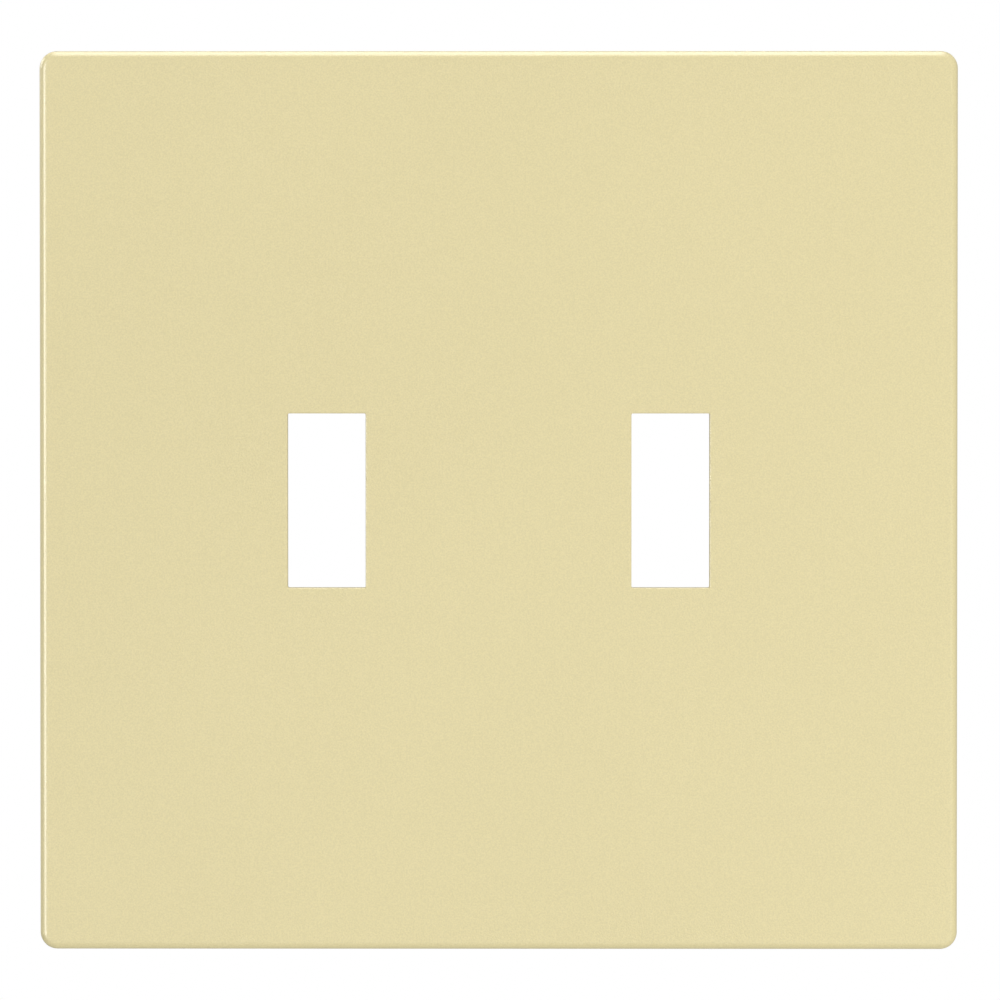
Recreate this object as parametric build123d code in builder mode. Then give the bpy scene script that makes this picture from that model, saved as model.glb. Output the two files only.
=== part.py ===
from build123d import *
import math
import os

os.makedirs("parts", exist_ok=True)

# Two-gang screwless wall plate for toggle devices: a clip-on cover, the mounting plate that
# it snaps onto, and the four screws that fasten the mounting plate to the two devices.
# Millimetres. X runs across the plate, Z runs up, the front faces -Y, and the wall is Y = 0.
# Depths are measured from the wall towards the front.

# --- Spacing set by the devices behind the plate ---
gang_spacing = 46.04
screw_spacing = 60.33
gang_xs = (-gang_spacing / 2, gang_spacing / 2)
screw_zs = (-screw_spacing / 2, screw_spacing / 2)

# --- Cover ---
cover_width = 123.1
cover_height = 120.5
cover_depth = 7.0
front_wall = 2.0
side_wall = 1.7
draft = 1.0
corner_radius = 2.4
arris_radius = 1.0
rim_round = 0.2
opening_width = 10.45
opening_height = 23.35
opening_corner = 0.2
opening_round = 0.2
collar_wall = 1.1
rib_height = 0.7
rib_width = 0.9
rib_z = 21.0
rib_x = 46.5
pry_notch_width = 9.5
pry_notch_depth = 1.1
ejector_radius = 2.5
ejector_depth = 0.12
cover_ejector_grid = (69.6, 38.0)

# --- Mounting plate ---
mount_width = 114.0
mount_height = 111.4
mount_corner = 3.0
mount_depth = 4.1
web = 1.2
flange = 1.6
wall_rib = 1.2
side_rib_x = 47.5
ladder_zs = (-43.0, -14.0, 14.0, 43.0)
strap_relief = 1.6
strap_rib_zs = (-43.7, -6.1, 6.1, 43.7)
window_margin = 0.6
front_round = 0.4
rib_round = 0.2
align_notch = 0.8
pad_radius = 2.6
pad_height = 0.8
pad_draft = 3.0
pad_grid = (82.0, 30.0)
arrow_radius = 2.4
arrow_height = 0.1
arrow_z = 46.0
well_radius = 2.3
well_depth = 0.2
gate_radius = 0.9
gate_x = 8.4
mount_ejector_grid = (69.6, 60.0)

# --- Snap catches on the cover and sprung fingers on the mounting plate ---
finger_width = 12.0
finger_slot = 1.0
finger_length = 7.0
finger_thickness = 1.05
finger_tip_depth = 0.4
tooth_pitch = 0.8
tooth_count = 3
catch_length = 10.0
catch_depth = 0.5
catch_height = 2.4
catch_land = 0.3
catch_lead = 0.8
gusset_width = 0.9
gusset_offset = 3.6
snap_clearance = 0.06
side_finger_z = 28.5
end_finger_x = 31.5

# --- Plate screws, No. 6-32 flat head ---
thread_radius = 1.75
neck_radius = 1.45
hole_radius = 1.95
head_radius = 3.2
head_edge = 0.2
head_half_angle = 41.0
screw_length = 19.05
tip_chamfer = 0.5
slot_width = 1.1
slot_depth = 0.8
boss_radius = 4.9
seat_gap = 0.05

# --- Worked out from the above ---
cover_inner_depth = cover_depth - front_wall
cover_inner_width = cover_width - 2 * side_wall
cover_inner_height = cover_height - 2 * side_wall
web_back_depth = mount_depth - web
head_front_depth = mount_depth - seat_gap
cone_slope = 1 / math.tan(math.radians(head_half_angle))
head_cone = (head_radius - neck_radius) * cone_slope
seat_radius = head_radius + seat_gap
seat_cone = (seat_radius - hole_radius) * cone_slope
window_width = opening_width + 2 * window_margin
window_height = opening_height + 2 * window_margin
overrun = 1.0


def edge_plane(along, outward, half_span):
    """A plane across the plate's edge: local X points inwards from the edge, local Y to the front."""
    inward = Vector(-outward[0], 0, -outward[1])
    front = Vector(0, -1, 0)
    tangent = Vector(outward[1], 0, outward[0])
    middle = Vector(outward[0] * half_span, 0, outward[1] * half_span)
    origin = middle + tangent * along
    return Plane(origin=origin, x_dir=inward, z_dir=inward.cross(front))


# Each snap stands at one place along an edge: (place, outward direction, cover half, mount half).
side_halves = (cover_inner_width / 2, mount_width / 2)
end_halves = (cover_inner_height / 2, mount_height / 2)
snaps = []
for side in (-1, 1):
    for place in (-1, 1):
        snaps.append((place * side_finger_z, (side, 0), *side_halves))
        snaps.append((place * end_finger_x, (0, side), *end_halves))

# The outline of a finger's teeth, from its tip towards its root: (distance in, depth)
root_depth = finger_tip_depth + tooth_count * tooth_pitch
teeth = []
for tooth in range(tooth_count):
    depth = finger_tip_depth + tooth * tooth_pitch
    teeth += [(flange - finger_thickness, depth), (0, depth + tooth_pitch / 2)]

# --- cover_plate: the visible shell ---
with BuildPart() as cover_plate:
    with BuildSketch(Plane.XZ):
        RectangleRounded(cover_width, cover_height, corner_radius)
    extrude(amount=cover_depth, taper=draft)
    fillet(cover_plate.faces().sort_by(Axis.Y)[0].outer_wire().edges(), arris_radius)
    fillet(cover_plate.faces().sort_by(Axis.Y)[-1].outer_wire().edges(), rim_round)

    # The hollow behind the front wall
    with BuildSketch(Plane.XZ):
        RectangleRounded(cover_inner_width, cover_inner_height, corner_radius - side_wall)
    extrude(amount=cover_inner_depth, taper=draft, mode=Mode.SUBTRACT)
    fillet(cover_plate.faces().sort_by(Axis.Y)[-1].inner_wires()[0].edges(), rim_round)

    # Collars round the two openings, and stiffening ribs between them
    with BuildSketch(Plane.XZ.offset(cover_inner_depth - rib_height)):
        with Locations([(x, 0) for x in gang_xs]):
            Rectangle(opening_width + 2 * collar_wall, opening_height + 2 * collar_wall)
        Rectangle(rib_width, cover_inner_height - side_wall)
        with Locations((-rib_x, 0), (rib_x, 0)):
            Rectangle(rib_width, cover_inner_height - side_wall)
        with Locations((0, -rib_z), (0, rib_z)):
            Rectangle(cover_inner_width - side_wall, rib_width)
    extrude(amount=rib_height)

    # Snap catches inside the rim, each with two gussets down to the front wall
    for along, outward, cover_half, mount_half in snaps:
        reach = cover_half - mount_half - snap_clearance
        snap_plane = edge_plane(along, outward, cover_half)
        with BuildSketch(snap_plane):
            with BuildLine():
                Polyline(
                    (-side_wall / 2, catch_depth),
                    (reach - catch_lead, catch_depth),
                    (reach, catch_depth + catch_lead),
                    (reach, catch_depth + catch_lead + catch_land),
                    (-side_wall / 2, catch_depth + catch_height),
                    close=True,
                )
            make_face()
        extrude(amount=catch_length / 2, both=True)
        for shift in (-gusset_offset, gusset_offset):
            with BuildSketch(snap_plane.offset(shift)):
                with BuildLine():
                    Polyline(
                        (-side_wall / 2, catch_depth + catch_lead),
                        (reach - catch_lead, catch_depth + catch_lead),
                        (reach - catch_lead, cover_inner_depth + front_wall / 2),
                        (-side_wall / 2, cover_inner_depth + front_wall / 2),
                        close=True,
                    )
                make_face()
            extrude(amount=gusset_width / 2, both=True)

    # The two toggle openings
    with BuildSketch(Plane.XZ):
        with Locations([(x, 0) for x in gang_xs]):
            RectangleRounded(opening_width, opening_height, opening_corner)
    extrude(amount=cover_depth + overrun, mode=Mode.SUBTRACT)
    front_face = cover_plate.faces().sort_by(Axis.Y)[0]
    fillet([edge for wire in front_face.inner_wires() for edge in wire.edges()], opening_round)

    # Ejector-pin marks on the inside of the front wall
    with BuildSketch(Plane.XZ.offset(cover_inner_depth)):
        with GridLocations(*cover_ejector_grid, 2, 3):
            Circle(ejector_radius)
    extrude(amount=ejector_depth, mode=Mode.SUBTRACT)

    # A notch in the bottom of the rim, where a screwdriver prises the cover off
    with BuildSketch(Plane.XZ):
        with Locations((0, -cover_height / 2)):
            Rectangle(pry_notch_width, 2 * side_wall + overrun)
    extrude(amount=pry_notch_depth, mode=Mode.SUBTRACT)

# --- mounting_plate: the frame that the devices hold and the cover snaps onto ---
with BuildPart() as mounting_plate:
    with BuildSketch(Plane.XZ):
        RectangleRounded(mount_width, mount_height, mount_corner)
    extrude(amount=mount_depth)
    fillet(mounting_plate.faces().sort_by(Axis.Y)[0].outer_wire().edges(), front_round)
    with BuildSketch(Plane.XZ):
        RectangleRounded(mount_width - 2 * flange, mount_height - 2 * flange, mount_corner - flange)
    extrude(amount=web_back_depth, mode=Mode.SUBTRACT)

    # Low ribs, collars and screw bosses, which leave room for the device straps
    with BuildSketch(Plane.XZ.offset(strap_relief)):
        with Locations([(x, 0) for x in gang_xs]):
            Rectangle(window_width + 2 * wall_rib, window_height + 2 * wall_rib)
            Rectangle(wall_rib, mount_height - flange)
        with Locations([(x, z) for x in gang_xs for z in screw_zs]):
            Circle(boss_radius)
        with Locations([(0, z) for z in strap_rib_zs]):
            Rectangle(2 * side_rib_x, wall_rib)
    extrude(amount=mount_depth - strap_relief - web / 2)
    low_edges = mounting_plate.edges().filter_by_position(Axis.Y, -strap_relief, -strap_relief)
    inside = mount_height / 2 - flange - rib_round
    fillet(low_edges.filter_by_position(Axis.Z, -inside, inside), rib_round)

    # Full ribs, which reach the wall beside the device straps
    with BuildSketch(Plane.XZ):
        Rectangle(flange, mount_height - flange)
        with Locations((-side_rib_x, 0), (side_rib_x, 0)):
            Rectangle(wall_rib, mount_height - flange)
        for z in ladder_zs:
            for side in (-1, 1):
                with Locations((side * (side_rib_x + mount_width / 2) / 2, z)):
                    Rectangle(mount_width / 2 - side_rib_x - flange / 2, wall_rib)
    extrude(amount=mount_depth - web / 2)
    fillet(mounting_plate.faces().sort_by(Axis.Y)[-1].edges(), rib_round)

    # Pads on the front that back the cover up
    with BuildSketch(Plane.XZ.offset(mount_depth)):
        with GridLocations(*pad_grid, 2, 4):
            Circle(pad_radius)
    extrude(amount=pad_height, taper=pad_draft)

    # An arrow that points up, raised on the front
    with BuildSketch(Plane.XZ.offset(mount_depth)):
        with Locations((0, arrow_z)):
            RegularPolygon(arrow_radius, 3, rotation=90)
    extrude(amount=arrow_height)

    # Ejector-pin marks and two gate wells in the back of the web
    with BuildSketch(Plane.XZ.offset(web_back_depth)):
        with GridLocations(*mount_ejector_grid, 2, 2):
            Circle(ejector_radius)
    extrude(amount=ejector_depth, mode=Mode.SUBTRACT)
    with BuildSketch(Plane.XZ.offset(web_back_depth)):
        with Locations((-gate_x, 0), (gate_x, 0)):
            Circle(well_radius)
            Circle(gate_radius, mode=Mode.SUBTRACT)
    extrude(amount=well_depth, mode=Mode.SUBTRACT)

    # Small notches in the middle of each edge, for lining the plate up with pencil marks
    with BuildSketch(Plane.XZ):
        with Locations((-mount_width / 2, 0), (mount_width / 2, 0)):
            Rectangle(align_notch * math.sqrt(2), align_notch * math.sqrt(2), rotation=45)
        with Locations((0, -mount_height / 2), (0, mount_height / 2)):
            Rectangle(align_notch * math.sqrt(2), align_notch * math.sqrt(2), rotation=45)
    extrude(amount=mount_depth, mode=Mode.SUBTRACT)

    # Windows for the toggles
    with BuildSketch(Plane.XZ):
        with Locations([(x, 0) for x in gang_xs]):
            RectangleRounded(window_width, window_height, 2 * opening_corner)
    extrude(amount=mount_depth + pad_height, mode=Mode.SUBTRACT)

    # Countersunk screw holes, cut with the cone of the screw head
    for x in gang_xs:
        for z in screw_zs:
            hole_plane = Plane(origin=(x, 0, z), x_dir=(1, 0, 0), z_dir=(0, 0, 1))
            with BuildSketch(hole_plane):
                with BuildLine():
                    Polyline(
                        (0, overrun),
                        (hole_radius, overrun),
                        (hole_radius, -head_front_depth + head_edge + seat_cone),
                        (seat_radius, -head_front_depth + head_edge),
                        (seat_radius, -mount_depth - overrun),
                        (0, -mount_depth - overrun),
                        close=True,
                    )
                make_face()
            revolve(axis=Axis((x, 0, z), (0, 1, 0)), mode=Mode.SUBTRACT)

    # Sprung fingers: slots free a tongue of the edge, and its flange is thinned and toothed
    for along, outward, _, mount_half in snaps:
        snap_plane = edge_plane(along, outward, mount_half)
        for shift in (-(finger_width + finger_slot) / 2, (finger_width + finger_slot) / 2):
            with BuildSketch(snap_plane.offset(shift)):
                with BuildLine():
                    Polyline(
                        (-overrun, -overrun),
                        (finger_length, -overrun),
                        (finger_length, mount_depth + overrun),
                        (-overrun, mount_depth + overrun),
                        close=True,
                    )
                make_face()
            extrude(amount=finger_slot / 2, both=True, mode=Mode.SUBTRACT)
        with BuildSketch(snap_plane):
            with BuildLine():
                Polyline(
                    (-overrun, -overrun),
                    (flange + overrun, -overrun),
                    (flange + overrun, finger_tip_depth),
                    *teeth,
                    (flange - finger_thickness, root_depth),
                    (-overrun, root_depth),
                    close=True,
                )
            make_face()
        extrude(amount=finger_width / 2, both=True, mode=Mode.SUBTRACT)

# --- plate screws: flat head, slotted, with the threaded end standing out behind ---
screws = {}
for x, across in zip(gang_xs, ("left", "right")):
    for z, up in zip(screw_zs, ("lower", "upper")):
        screw_plane = Plane(origin=(x, 0, z), x_dir=(1, 0, 0), z_dir=(0, 0, 1))
        tip = screw_length - head_front_depth
        with BuildPart() as plate_screw:
            with BuildSketch(screw_plane):
                with BuildLine():
                    Polyline(
                        (0, -head_front_depth),
                        (head_radius, -head_front_depth),
                        (head_radius, -head_front_depth + head_edge),
                        (neck_radius, -head_front_depth + head_edge + head_cone),
                        (neck_radius, 0),
                        (thread_radius, 0),
                        (thread_radius, tip - tip_chamfer),
                        (thread_radius - tip_chamfer, tip),
                        (0, tip),
                        close=True,
                    )
                make_face()
            revolve(axis=Axis((x, 0, z), (0, 1, 0)))
            with BuildSketch(Plane.XZ.offset(head_front_depth - slot_depth)):
                with Locations((x, z)):
                    Rectangle(slot_width, 2 * head_radius + overrun)
            extrude(amount=slot_depth + overrun, mode=Mode.SUBTRACT)
        screws[f"plate_screw_{up}_{across}"] = plate_screw.part

cover_plate.part.label = "cover_plate"
mounting_plate.part.label = "mounting_plate"
export_step(cover_plate.part, "parts/cover_plate.step")
export_step(mounting_plate.part, "parts/mounting_plate.step")
for name, part in screws.items():
    part.label = name
    export_step(part, f"parts/{name}.step")
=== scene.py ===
"""Looks of the two-gang screwless wall plate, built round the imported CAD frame.

Metres, in the frame of the CAD model: X across the plate, Z up, the front faces -Y and the wall is Y = 0.
The cover and the mounting plate are shown as the CAD nodes they are, with moulded-plastic materials.
The four plate screws are replaced with screws that have a real helical thread and a driver recess.
"""
import math

import bmesh
import bpy
from mathutils import Matrix, Vector


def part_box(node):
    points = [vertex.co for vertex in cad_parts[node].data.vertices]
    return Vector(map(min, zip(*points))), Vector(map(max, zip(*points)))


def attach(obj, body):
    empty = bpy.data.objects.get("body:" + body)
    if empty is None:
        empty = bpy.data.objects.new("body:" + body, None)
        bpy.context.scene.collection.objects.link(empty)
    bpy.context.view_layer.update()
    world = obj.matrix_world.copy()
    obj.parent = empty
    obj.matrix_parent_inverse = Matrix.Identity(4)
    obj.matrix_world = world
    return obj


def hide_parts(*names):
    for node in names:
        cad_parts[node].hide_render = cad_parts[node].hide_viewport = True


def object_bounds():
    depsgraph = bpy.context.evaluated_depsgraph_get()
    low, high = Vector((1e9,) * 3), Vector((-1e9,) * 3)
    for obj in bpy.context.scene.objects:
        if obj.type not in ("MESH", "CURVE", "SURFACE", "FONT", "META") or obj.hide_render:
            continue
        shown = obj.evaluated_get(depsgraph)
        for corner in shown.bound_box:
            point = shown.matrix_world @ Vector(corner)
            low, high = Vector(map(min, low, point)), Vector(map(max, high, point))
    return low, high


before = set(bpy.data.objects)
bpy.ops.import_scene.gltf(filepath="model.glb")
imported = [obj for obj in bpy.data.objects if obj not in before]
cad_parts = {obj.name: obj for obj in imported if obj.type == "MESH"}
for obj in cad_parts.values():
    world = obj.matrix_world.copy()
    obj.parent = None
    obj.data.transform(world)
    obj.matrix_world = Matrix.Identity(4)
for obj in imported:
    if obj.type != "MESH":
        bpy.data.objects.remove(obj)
cad_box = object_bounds()
lowest, highest = cad_box
centre = (lowest + highest) / 2

MM = 0.001
INCH = 0.0254

# --- Camera and stage, in metres, and the sensor in millimetres ---
CAMERA_DISTANCE = 1.0
CAMERA_ELEVATION = math.radians(1.2)
CAMERA_AZIMUTH = math.radians(0.35)
CAMERA_AIM = Vector((0.00020, 0.0, 0.00009))
VIEW_WIDTH = 0.13385
SENSOR_WIDTH = 36.0
FLOOR_DROP = 0.030
FLOOR_RADIUS = 0.6
FADE_START = 0.08
FADE_END = 0.25
WORLD_LIGHT = 0.44

# --- Moulded plastic: noise scales are per metre ---
IVORY = (0.80, 0.704, 0.382)
GREY = (0.60, 0.60, 0.585)
FLOW_SCALE = 14.0
FLOW_CONTRAST = 0.015
SPECKLE_SCALE = 4600.0
SPECKLE_CONTRAST = 0.10
TEXTURE_SCALE = 4300.0
TEXTURE_DEPTH = 0.05 * MM
EDGE_SOFTNESS = 0.12 * MM
SIDE_TEXTURE_SHARE = 0.25
# The cover's texture fades to that share while the normal's Y goes from the first of these to the second.
FACE_NORMAL_Y = -0.995
SIDE_NORMAL_Y = -0.90

# --- Plate screws, No. 6-32 ---
THREAD_PITCH = INCH / 32
THREAD_DEPTH = 0.54 * THREAD_PITCH
THREAD_RADIUS = 1.75 * MM
THREAD_ROOT = THREAD_RADIUS - THREAD_DEPTH
THREAD_STEPS = 40
LEAD_TURNS = 1.5
TIP_CHAMFER = 0.5 * MM
HEAD_RADIUS = 3.2 * MM
HEAD_EDGE = 0.2 * MM
HEAD_ROUND = 0.08 * MM
HEAD_HALF_ANGLE = math.radians(41)
NECK_OVERLAP = 0.15 * MM
THREAD_SINK = 0.7 * MM
SLOT_WIDTH = 1.1 * MM
SLOT_DEPTH = 0.8 * MM
CROSS_DEPTH = 1.5 * MM
CROSS_SPAN = 1.75 * MM
CROSS_WIDTH = 0.85 * MM
CROSS_NARROWING = 0.45
CUT_OVERRUN = 0.5 * MM
CUT_TOLERANCE = 1e-7
SMOOTH_ANGLE = math.radians(28)

# --- Zinc plating: bright on the crests; darker near the thread's root, from duller plating and painted shade in the root ---
PLATING_DARK = (0.76, 0.78, 0.80)
PLATING_LIGHT = (0.90, 0.91, 0.90)
# The dark colour near the thread's root is duller plating plus painted shade in the root, and it reaches
# out to the radius below.
PLATING_DULL_AND_SHADED = (0.30, 0.31, 0.33)
DULL_AND_SHADED_RADIUS = THREAD_ROOT + 0.1 * MM
BRIGHT_RADIUS = THREAD_RADIUS - 0.05 * MM


# --- Node helpers ---
class Shader:
    """A material's node tree, with short calls to add and join nodes."""

    def __init__(self, name):
        self.material = bpy.data.materials.new(name)
        self.material.use_nodes = True
        self.nodes = self.material.node_tree.nodes
        self.links = self.material.node_tree.links
        self.principled = self.nodes["Principled BSDF"]

    def add(self, kind, **values):
        node = self.nodes.new(kind)
        for key, value in values.items():
            setattr(node, key, value)
        return node

    def join(self, source, target):
        self.links.new(source, target)

    def set(self, **sockets):
        for name, value in sockets.items():
            self.principled.inputs[name.replace("_", " ")].default_value = value

    def noise(self, coordinates, scale, detail=2.0, roughness=0.5):
        node = self.add("ShaderNodeTexNoise")
        node.inputs["Scale"].default_value = scale
        node.inputs["Detail"].default_value = detail
        node.inputs["Roughness"].default_value = roughness
        self.join(coordinates, node.inputs["Vector"])
        return node.outputs["Fac"]

    def remap(self, value, low, high, from_low=0.3, from_high=0.7):
        node = self.add("ShaderNodeMapRange")
        self.join(value, node.inputs["Value"])
        node.inputs["From Min"].default_value = from_low
        node.inputs["From Max"].default_value = from_high
        node.inputs["To Min"].default_value = low
        node.inputs["To Max"].default_value = high
        return node.outputs["Result"]

    def mix(self, factor, first, second):
        node = self.add("ShaderNodeMix", data_type="RGBA")
        self.join(factor, node.inputs["Factor"])
        for socket, colour in ((node.inputs[6], first), (node.inputs[7], second)):
            if isinstance(colour, tuple):
                socket.default_value = (*colour, 1.0)
            else:
                self.join(colour, socket)
        return node.outputs[2]

    def bump(self, height, strength, distance, normal=None):
        node = self.add("ShaderNodeBump")
        node.inputs["Distance"].default_value = distance
        if isinstance(strength, float):
            node.inputs["Strength"].default_value = strength
        else:
            self.join(strength, node.inputs["Strength"])
        self.join(height, node.inputs["Height"])
        if normal is not None:
            self.join(normal, node.inputs["Normal"])
        return node.outputs["Normal"]


def scaled(colour, factor):
    """The colour made lighter or darker by a factor."""
    return tuple(min(1.0, channel * factor) for channel in colour)


# --- Materials ---
def moulded_plastic(name, colour, roughness, grain, texture_front_only):
    """Moulded plastic: an even colour with faint flow shading, and a fine spark-eroded texture."""
    shader = Shader(name)
    place = shader.add("ShaderNodeTexCoord").outputs["Object"]

    flow = shader.noise(place, FLOW_SCALE, detail=3.0, roughness=0.6)
    speckle = shader.noise(place, SPECKLE_SCALE, detail=1.0)
    shades = []
    for pattern, contrast in ((flow, FLOW_CONTRAST), (speckle, SPECKLE_CONTRAST)):
        dark, light = scaled(colour, 1 - contrast), scaled(colour, 1 + contrast)
        shades.append(shader.mix(shader.remap(pattern, 0.0, 1.0), dark, light))
    blend = shader.add("ShaderNodeMix", data_type="RGBA")
    blend.inputs["Factor"].default_value = 0.5
    shader.join(shades[0], blend.inputs[6])
    shader.join(shades[1], blend.inputs[7])
    shader.join(blend.outputs[2], shader.principled.inputs["Base Color"])

    texture = shader.noise(place, TEXTURE_SCALE, roughness=0.55)
    strength = grain
    if texture_front_only:
        facing = shader.add("ShaderNodeSeparateXYZ")
        shader.join(shader.add("ShaderNodeTexCoord").outputs["Normal"], facing.inputs["Vector"])
        side_grain = SIDE_TEXTURE_SHARE * grain
        strength = shader.remap(facing.outputs["Y"], grain, side_grain, FACE_NORMAL_Y, SIDE_NORMAL_Y)
    edges = shader.add("ShaderNodeBevel", samples=4)
    edges.inputs["Radius"].default_value = EDGE_SOFTNESS
    normal = shader.bump(texture, strength, TEXTURE_DEPTH, edges.outputs["Normal"])
    shader.join(normal, shader.principled.inputs["Normal"])
    shader.join(shader.remap(flow, roughness, roughness + 0.05), shader.principled.inputs["Roughness"])
    shader.set(IOR=1.58, Specular_IOR_Level=0.75)
    return shader.material


def zinc_plate():
    """Bright zinc on a screw: pale blue-grey metal with a polish on the crests, and darker in the thread's
    roots from duller plating and painted shade.
    """
    shader = Shader("zinc_plated_steel")
    place = shader.add("ShaderNodeTexCoord").outputs["Object"]
    mottle = shader.remap(shader.noise(place, 400.0, detail=3.0, roughness=0.6), 0.0, 1.0)
    plating = shader.mix(mottle, PLATING_DARK, PLATING_LIGHT)

    across = shader.add("ShaderNodeVectorMath", operation="MULTIPLY")
    across.inputs[1].default_value = (1.0, 0.0, 1.0)
    shader.join(place, across.inputs[0])
    radius = shader.add("ShaderNodeVectorMath", operation="LENGTH")
    shader.join(across.outputs["Vector"], radius.inputs[0])
    # Darker towards the axis: the thread's roots get duller plating and painted shade, and the crests stay
    # bright.
    crest = shader.remap(radius.outputs["Value"], 0.0, 1.0, DULL_AND_SHADED_RADIUS, BRIGHT_RADIUS)

    facing = shader.add("ShaderNodeSeparateXYZ")
    shader.join(shader.add("ShaderNodeTexCoord").outputs["Normal"], facing.inputs["Vector"])
    endways = shader.add("ShaderNodeMath", operation="ABSOLUTE")
    shader.join(facing.outputs["Y"], endways.inputs[0])
    flat_end = shader.remap(endways.outputs["Value"], 0.0, 1.0, 0.90, 0.98)
    polish_and_root_shade = shader.add("ShaderNodeMath", operation="MAXIMUM")
    shader.join(crest, polish_and_root_shade.inputs[0])
    shader.join(flat_end, polish_and_root_shade.inputs[1])
    shine_and_root_shade = polish_and_root_shade.outputs["Value"]

    # The base colour goes from the dark root colour (duller plating and painted shade) to the bright
    # plating on the crests and flat ends.
    shader.join(shader.mix(shine_and_root_shade, PLATING_DULL_AND_SHADED, plating), shader.principled.inputs["Base Color"])
    shader.join(shader.remap(shine_and_root_shade, 0.45, 0.30, 0.0, 1.0), shader.principled.inputs["Roughness"])
    fine = shader.noise(place, 9000.0)
    shader.join(shader.bump(fine, 0.25, 0.01 * MM), shader.principled.inputs["Normal"])
    shader.set(Metallic=1.0)
    return shader.material


def paint(obj, material):
    obj.data.materials.clear()
    obj.data.materials.append(material)


# --- Screws ---
def new_mesh_object(name, bm):
    mesh = bpy.data.meshes.new(name)
    bm.to_mesh(mesh)
    bm.free()
    obj = bpy.data.objects.new(name, mesh)
    bpy.context.scene.collection.objects.link(obj)
    return obj


def threaded_rod(head_end, tip_end):
    """A closed rod along +Y with a right-hand helical thread, cut flat at both ends.

    The profile gives the radius at shares of one pitch. The helix runs on past both cuts.
    """
    profile = (
        (0.0, THREAD_ROOT),
        (0.10, THREAD_ROOT),
        (0.44, THREAD_RADIUS),
        (0.56, THREAD_RADIUS),
        (0.90, THREAD_ROOT),
    )
    turns = math.ceil((tip_end - head_end) / THREAD_PITCH + 2 * LEAD_TURNS)
    bm = bmesh.new()
    rows = []
    for step in range(turns * THREAD_STEPS + 1):
        angle = 2 * math.pi * step / THREAD_STEPS
        start = head_end - LEAD_TURNS * THREAD_PITCH + THREAD_PITCH * step / THREAD_STEPS
        row = []
        for share, radius in profile:
            y = start + share * THREAD_PITCH
            radius = min(radius, THREAD_RADIUS - TIP_CHAMFER + max(0.0, tip_end - y))
            row.append(bm.verts.new((radius * math.cos(angle), y, radius * math.sin(angle))))
        rows.append(row)
    for step in range(len(rows) - 1):
        here, after = rows[step], rows[step + 1]
        for n in range(len(profile) - 1):
            bm.faces.new((here[n], here[n + 1], after[n + 1], after[n]))
        if step + THREAD_STEPS + 1 < len(rows):
            next_turn, next_after = rows[step + THREAD_STEPS], rows[step + THREAD_STEPS + 1]
            bm.faces.new((here[-1], next_turn[0], next_after[0], after[-1]))
    for cut, side in ((head_end, -1), (tip_end, 1)):
        bmesh.ops.bisect_plane(
            bm,
            geom=bm.verts[:] + bm.edges[:] + bm.faces[:],
            plane_co=(0, cut, 0),
            plane_no=(0, side, 0),
            clear_outer=True,
        )
        rim = []
        for edge in bm.edges:
            if edge.is_boundary and all(abs(vertex.co.y - cut) < CUT_TOLERANCE for vertex in edge.verts):
                rim.append(edge)
        bmesh.ops.contextual_create(bm, geom=rim)
    bmesh.ops.recalc_face_normals(bm, faces=bm.faces)
    return new_mesh_object("thread", bm)


def lathe(name, profile, segments=64):
    """A closed solid turned round the Y axis from (radius, y) points, the first and last on the axis."""
    bm = bmesh.new()
    rings = []
    for radius, y in profile[1:-1]:
        ring = []
        for n in range(segments):
            angle = 2 * math.pi * n / segments
            ring.append(bm.verts.new((radius * math.cos(angle), y, radius * math.sin(angle))))
        rings.append(ring)
    first = bm.verts.new((0, profile[0][1], 0))
    last = bm.verts.new((0, profile[-1][1], 0))
    for n in range(segments):
        m = (n + 1) % segments
        bm.faces.new((first, rings[0][n], rings[0][m]))
        bm.faces.new((last, rings[-1][m], rings[-1][n]))
        for lower, upper in zip(rings, rings[1:]):
            bm.faces.new((lower[n], upper[n], upper[m], lower[m]))
    bmesh.ops.recalc_face_normals(bm, faces=bm.faces)
    return new_mesh_object(name, bm)


def wedge(name, span, width, depth, top, narrow=1.0):
    """A block that sinks from y = top to y = top + depth, narrowing there to a share of its size."""
    bm = bmesh.new()
    corners = []
    for y, share in ((top - CUT_OVERRUN, 1.0), (top, 1.0), (top + depth, narrow)):
        ring = []
        for x, z in ((-1, -1), (1, -1), (1, 1), (-1, 1)):
            ring.append(bm.verts.new((x * width / 2 * share, y, z * span * share)))
        corners.append(ring)
    bm.faces.new(corners[0])
    bm.faces.new(corners[-1])
    for lower, upper in zip(corners, corners[1:]):
        for n in range(4):
            m = (n + 1) % 4
            bm.faces.new((lower[n], lower[m], upper[m], upper[n]))
    bmesh.ops.recalc_face_normals(bm, faces=bm.faces)
    return new_mesh_object(name, bm)


def combine(target, tool, operation):
    """Joins or cuts target with tool, and removes tool."""
    modifier = target.modifiers.new(operation.lower(), "BOOLEAN")
    modifier.operation = operation
    modifier.solver = "MANIFOLD"
    modifier.object = tool
    depsgraph = bpy.context.evaluated_depsgraph_get()
    made = bpy.data.meshes.new_from_object(target.evaluated_get(depsgraph))
    target.modifiers.clear()
    target.data = made
    bpy.data.objects.remove(tool)


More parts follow.
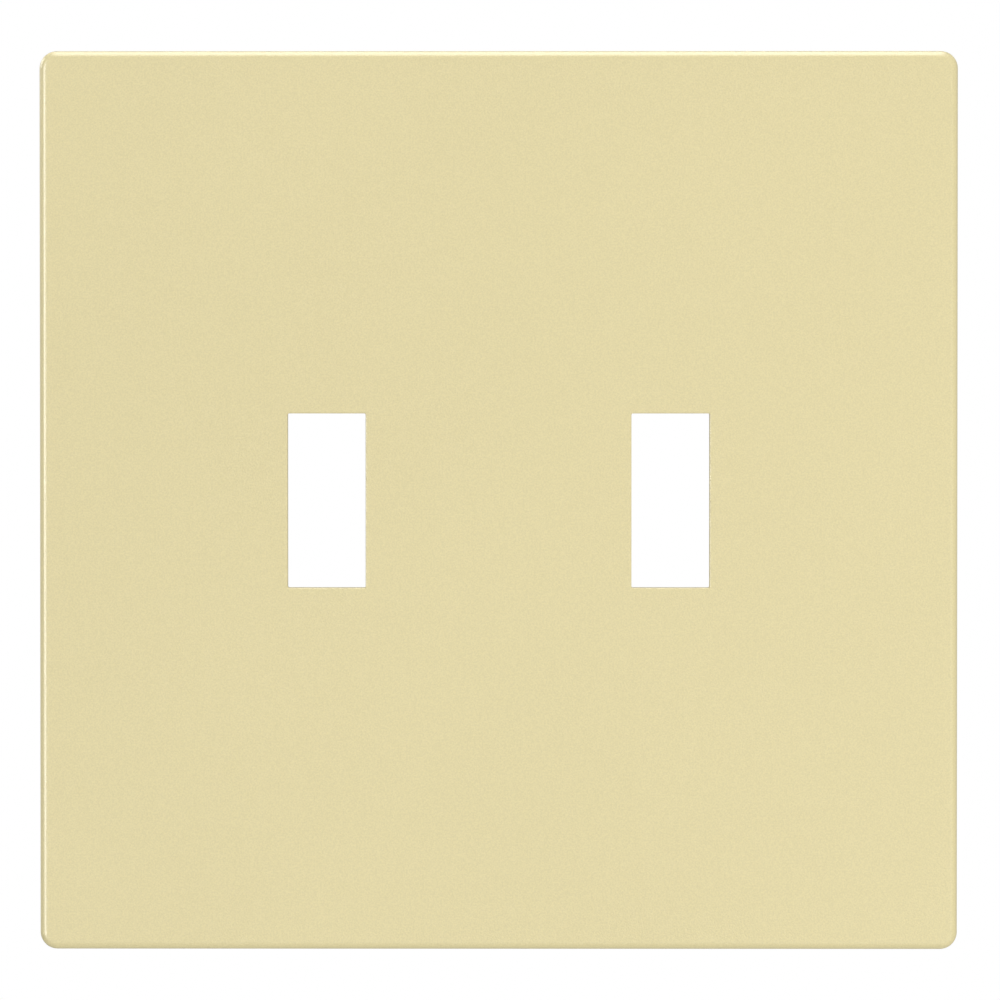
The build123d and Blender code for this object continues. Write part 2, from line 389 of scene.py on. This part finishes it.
def plate_screw_mesh(front, tip):
    """The mesh of one flat-head screw on the Y axis, with a slot and a cross recess in its head.

    The head's cone runs on into a stub inside the rod, and the rod starts inside the cone, so that no
    surfaces coincide where the two are joined.
    """
    slope = math.tan(HEAD_HALF_ANGLE)
    neck = front + HEAD_EDGE + (HEAD_RADIUS - THREAD_ROOT) / slope
    stub = THREAD_ROOT - NECK_OVERLAP
    stub_end = neck + NECK_OVERLAP / slope
    screw = lathe(
        "screw_head",
        (
            (0, front),
            (HEAD_RADIUS - 2 * HEAD_ROUND, front),
            (HEAD_RADIUS - 0.6 * HEAD_ROUND, front + 0.4 * HEAD_ROUND),
            (HEAD_RADIUS, front + 1.4 * HEAD_ROUND),
            (HEAD_RADIUS, front + HEAD_EDGE),
            (stub, stub_end),
            (0, stub_end),
        ),
    )
    combine(screw, threaded_rod(neck - THREAD_SINK, tip), "UNION")
    slot = wedge("slot", HEAD_RADIUS + 2 * CUT_OVERRUN, SLOT_WIDTH, SLOT_DEPTH, front)
    combine(screw, slot, "DIFFERENCE")
    for turn in (0, math.pi / 2):
        arm = wedge("cross_arm", CROSS_SPAN, CROSS_WIDTH, CROSS_DEPTH, front, CROSS_NARROWING)
        arm.data.transform(Matrix.Rotation(turn, 4, "Y"))
        combine(screw, arm, "DIFFERENCE")
    mesh = screw.data
    bpy.data.objects.remove(screw)
    mesh.shade_smooth()
    mesh.set_sharp_from_angle(angle=SMOOTH_ANGLE)
    return mesh


def make_screws(material):
    """One detailed screw on each CAD screw's axis, all sharing one mesh."""
    names = sorted(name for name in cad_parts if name.startswith("plate_screw_"))
    low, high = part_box(names[0])
    shared = plate_screw_mesh(low.y, high.y)
    shared.materials.clear()
    shared.materials.append(material)
    for node in names:
        low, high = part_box(node)
        screw = bpy.data.objects.new(node.replace("plate_", "") + "_threaded", shared)
        bpy.context.scene.collection.objects.link(screw)
        screw.location = ((low.x + high.x) / 2, 0, (low.z + high.z) / 2)
        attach(screw, node)
        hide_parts(node)


# --- Stage ---
def area_light(name, place, size, power, diffuse=True, glossy=True):
    """A rectangular softbox at a place, facing the plate, for diffuse light, reflections or both."""
    data = bpy.data.lights.new(name, "AREA")
    data.shape = "RECTANGLE"
    data.size, data.size_y = size
    data.energy = power
    lamp = bpy.data.objects.new(name, data)
    lamp.location = place
    lamp.rotation_euler = (centre - Vector(place)).to_track_quat("-Z", "Y").to_euler()
    lamp.visible_diffuse = diffuse
    lamp.visible_glossy = glossy
    bpy.context.scene.collection.objects.link(lamp)


def pale_floor():
    """A round pale floor a little below the plate, which fades into the white surround."""
    bm = bmesh.new()
    bmesh.ops.create_circle(bm, cap_ends=True, radius=FLOOR_RADIUS, segments=96)
    floor = new_mesh_object("floor", bm)
    floor.location = (0, 0, lowest.z - FLOOR_DROP)
    shader = Shader("pale_floor")
    shader.set(Base_Color=(0.8, 0.8, 0.8, 1.0), Roughness=0.9, Specular_IOR_Level=0.0)
    glow = shader.add("ShaderNodeEmission")
    glow.inputs["Strength"].default_value = 1.0
    reach = shader.add("ShaderNodeVectorMath", operation="LENGTH")
    shader.join(shader.add("ShaderNodeTexCoord").outputs["Object"], reach.inputs[0])
    fade = shader.remap(reach.outputs["Value"], 0.0, 1.0, FADE_START, FADE_END)
    blend = shader.add("ShaderNodeMixShader")
    shader.join(fade, blend.inputs["Fac"])
    shader.join(shader.principled.outputs["BSDF"], blend.inputs[1])
    shader.join(glow.outputs["Emission"], blend.inputs[2])
    shader.join(blend.outputs["Shader"], shader.nodes["Material Output"].inputs["Surface"])
    paint(floor, shader.material)
    floor.visible_diffuse = False
    floor.visible_glossy = False
    floor.visible_shadow = False


def white_world():
    """A plain white surround to the eye, and a dimmer one as a source of light."""
    world = bpy.data.worlds.new("studio")
    bpy.context.scene.world = world
    world.use_nodes = True
    nodes, links = world.node_tree.nodes, world.node_tree.links
    shed = nodes["Background"]
    shed.inputs["Color"].default_value = (1.0, 1.0, 1.0, 1.0)
    shed.inputs["Strength"].default_value = WORLD_LIGHT
    seen = nodes.new("ShaderNodeBackground")
    seen.inputs["Color"].default_value = (1.0, 1.0, 1.0, 1.0)
    seen.inputs["Strength"].default_value = 1.0
    path = nodes.new("ShaderNodeLightPath")
    mixed = nodes.new("ShaderNodeMixShader")
    links.new(path.outputs["Is Camera Ray"], mixed.inputs["Fac"])
    links.new(shed.outputs["Background"], mixed.inputs[1])
    links.new(seen.outputs["Background"], mixed.inputs[2])
    links.new(mixed.outputs["Shader"], nodes["World Output"].inputs["Surface"])


def make_camera():
    """A long lens straight in front of the plate, a little above its middle and to the right."""
    data = bpy.data.cameras.new("camera")
    data.sensor_width = SENSOR_WIDTH
    data.lens = SENSOR_WIDTH * CAMERA_DISTANCE / VIEW_WIDTH
    camera = bpy.data.objects.new("camera", data)
    face = Vector((0, lowest.y, 0)) + CAMERA_AIM
    away = Vector((
        math.sin(CAMERA_AZIMUTH) * math.cos(CAMERA_ELEVATION),
        -math.cos(CAMERA_AZIMUTH) * math.cos(CAMERA_ELEVATION),
        math.sin(CAMERA_ELEVATION),
    ))
    camera.location = face + away * CAMERA_DISTANCE
    camera.rotation_euler = (-away).to_track_quat("-Z", "Y").to_euler()
    bpy.context.scene.collection.objects.link(camera)
    bpy.context.scene.camera = camera


make_camera()
bpy.context.scene.view_settings.view_transform = "Standard"

ivory_plastic = moulded_plastic("ivory_plastic", IVORY, roughness=0.29, grain=0.9, texture_front_only=True)
grey_plastic = moulded_plastic("grey_plastic", GREY, roughness=0.38, grain=0.15, texture_front_only=False)
paint(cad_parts["cover_plate"], ivory_plastic)
paint(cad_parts["mounting_plate"], grey_plastic)
make_screws(zinc_plate())

white_world()
pale_floor()
# Each lamp's name, place, size in metres and power in watts
area_light("top_softbox", (0.0, -0.05, 0.65), (0.45, 0.8), 2.4, glossy=False)
area_light("top_strip", (0.0, -0.075, 0.65), (0.45, 0.8), 3.6, diffuse=False)
area_light("left_strip", (-0.84, -0.99, 0.0), (0.5, 0.7), 9.0, diffuse=False)
area_light("front_fill", (0.5, -1.15, -0.33), (0.9, 0.9), 9.5, glossy=False)
area_light("back_key", (-0.9, 0.35, 0.4), (0.5, 0.5), 4.0)
